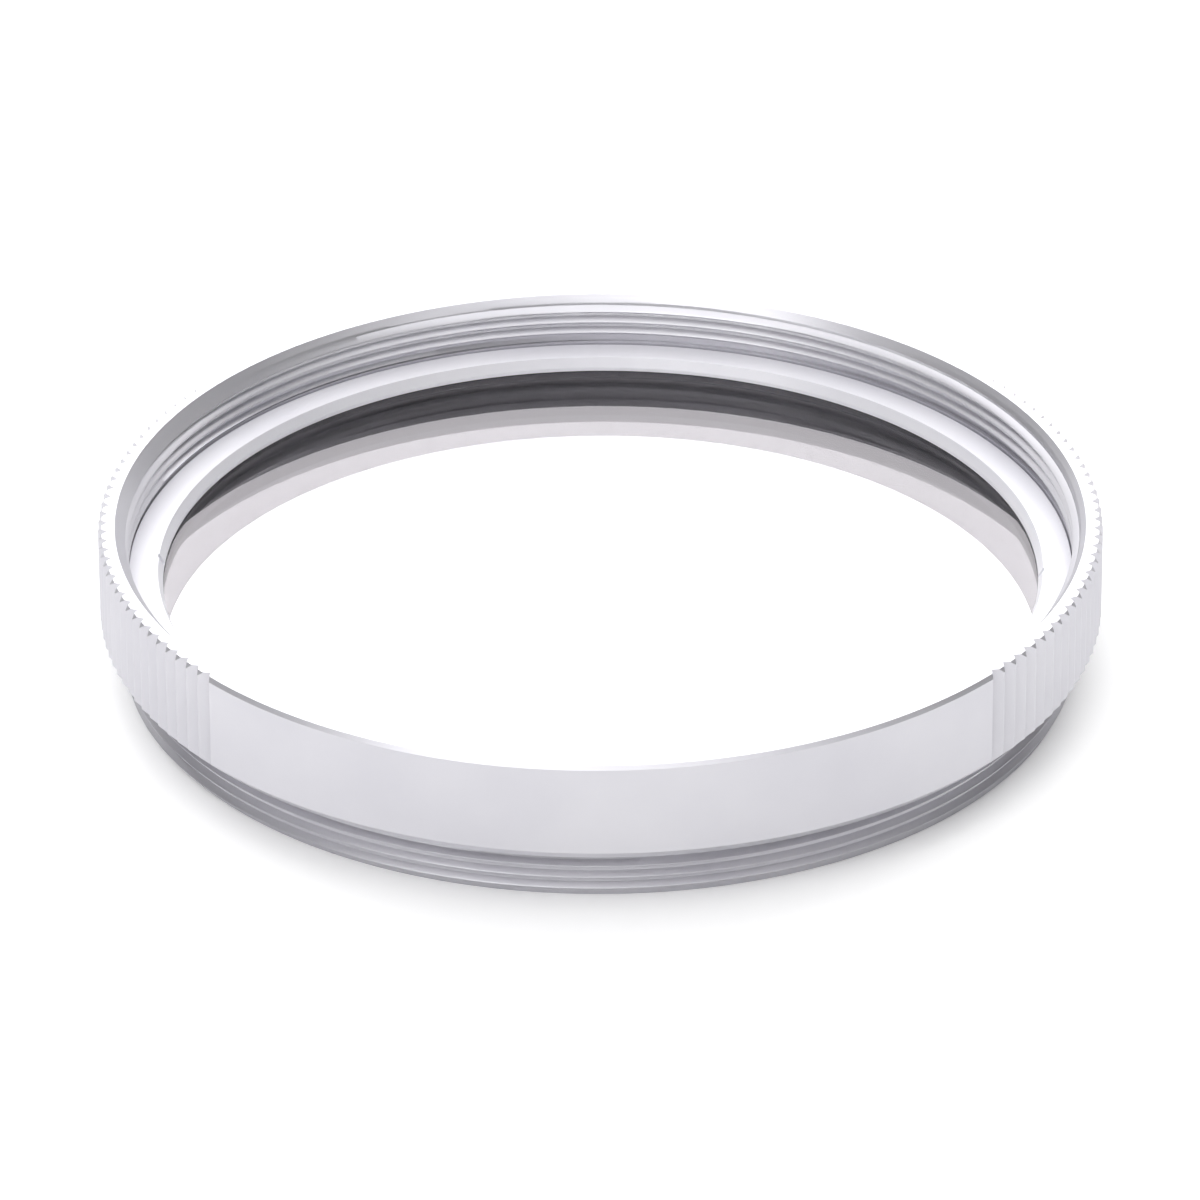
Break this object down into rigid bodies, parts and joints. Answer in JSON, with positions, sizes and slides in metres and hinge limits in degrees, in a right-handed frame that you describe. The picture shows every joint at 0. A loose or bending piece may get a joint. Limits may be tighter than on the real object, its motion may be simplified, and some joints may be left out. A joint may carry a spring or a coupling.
{
  "type": "uv filter",
  "caption": "Thin round metal screw-in filter for a camera lens, with a clear glass disc, a knurled grip, a male thread at the rear and a female thread at the front.",
  "frame": {"origin": "centre of the rear end face, on which the filter rests", "axes": "+Z along the optical axis towards the front thread; -Y towards the smooth sector of the grip"},
  "size_m": [0.041, 0.041, 0.0065],
  "materials": {
    "frame_metal": "fine satin, silver anodised, with a blackened bore under the glass",
    "coated_glass": "polished, coated, faint violet tint in its reflections",
    "ring_metal": "satin, silver anodised"
  },
  "bodies": {
    "root": {"filter_frame": "frame_metal", "glass_disc": "coated_glass", "retaining_ring": "ring_metal"}
  },
  "joints": []
}
